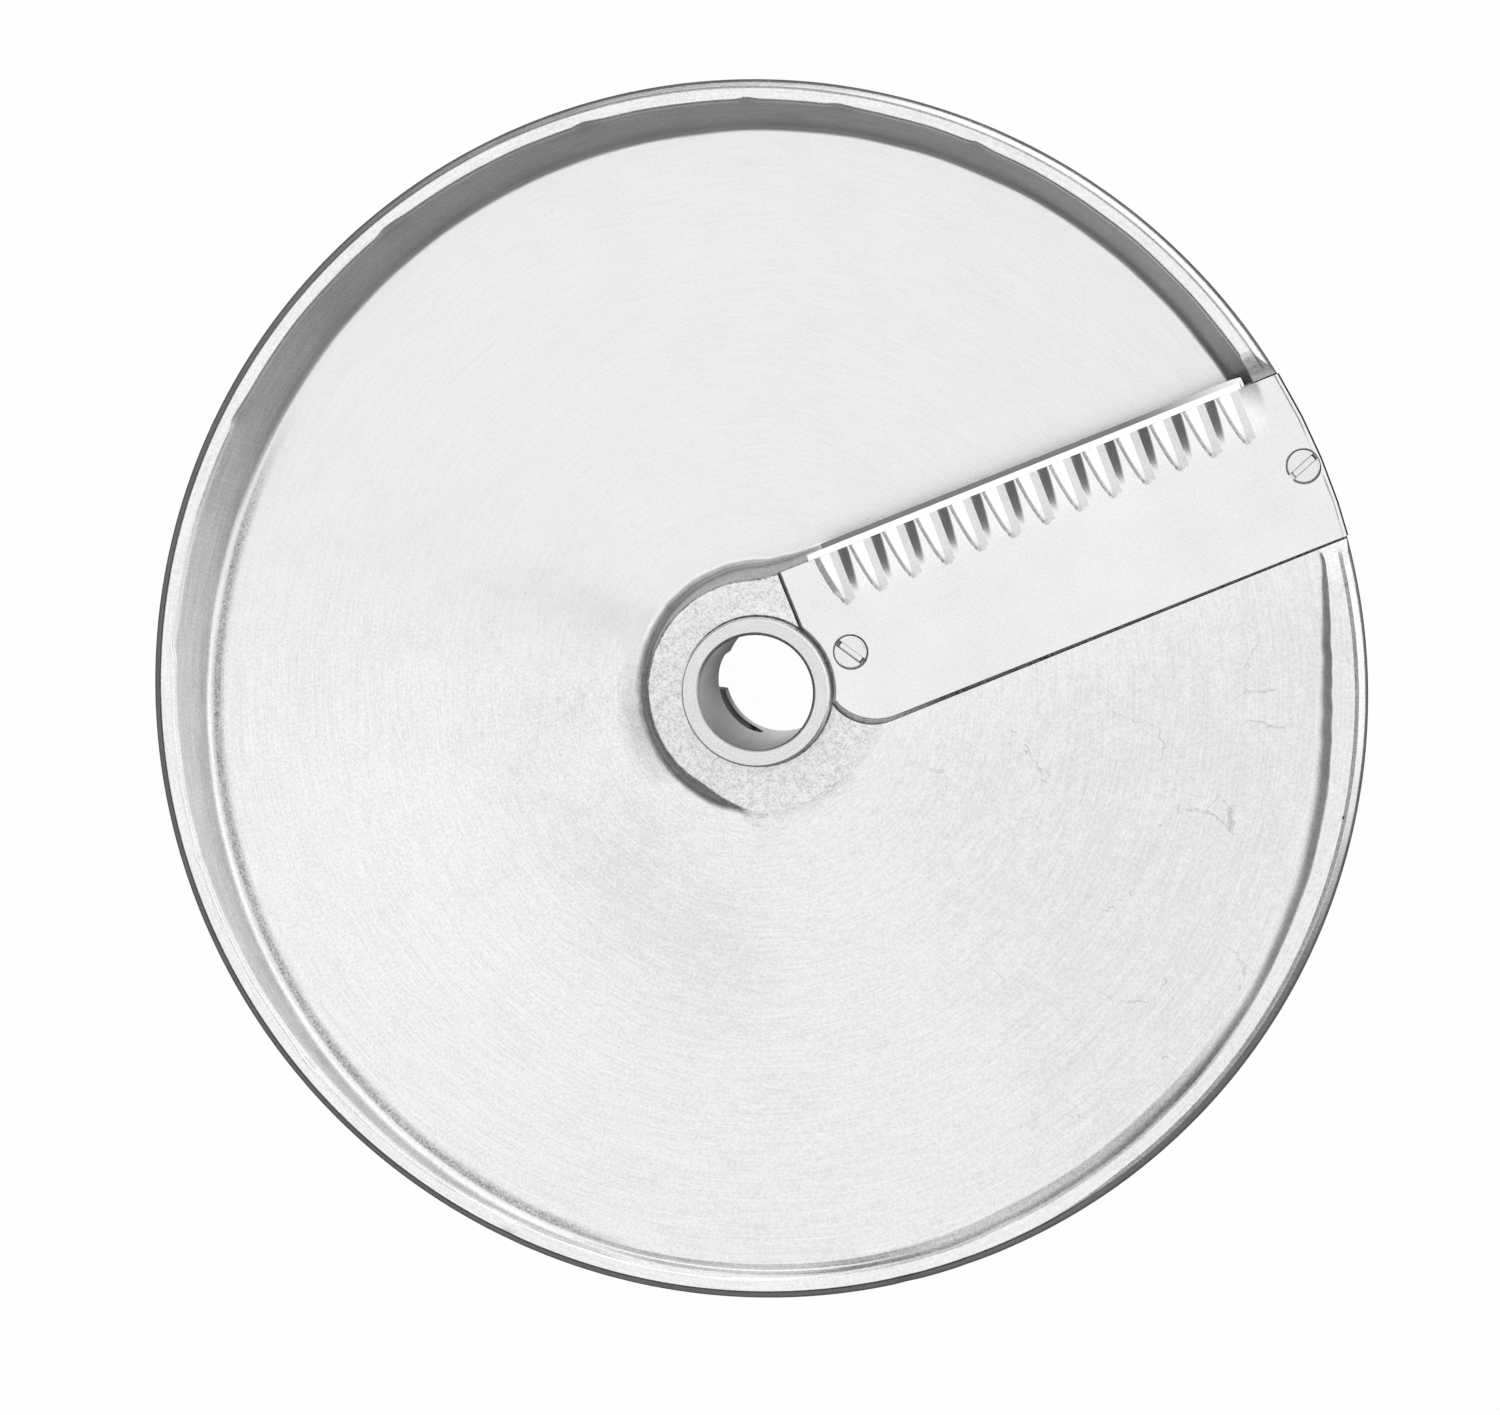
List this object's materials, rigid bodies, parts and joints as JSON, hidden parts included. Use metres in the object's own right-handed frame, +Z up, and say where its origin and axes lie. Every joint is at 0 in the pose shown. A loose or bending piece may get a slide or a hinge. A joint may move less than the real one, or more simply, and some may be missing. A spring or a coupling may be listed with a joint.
{
  "type": "food processor slicing disc",
  "caption": "Round cast slicing disc for a vegetable cutter: raised rim, ramped dish, fluted blade over a throat for the slices, and a hub bush that locks on a drive shaft.",
  "frame": {"origin": "on the bore axis at the foot of the hub bush", "axes": "+Z up the bore towards the cutting side, +X along the blade from the hub to the rim, +Y the way the cutting edge faces"},
  "size_m": [0.205, 0.205, 0.035],
  "materials": {
    "cast_aluminium": "satin, cast and tumbled",
    "bush_steel": "turned",
    "blade_steel": "fine satin with a ground edge",
    "screw_steel": "turned"
  },
  "bodies": {
    "root": {"disc_casting": "cast_aluminium", "hub_bush": "bush_steel", "fluted_blade": "blade_steel", "blade_screws": "screw_steel"}
  },
  "joints": []
}
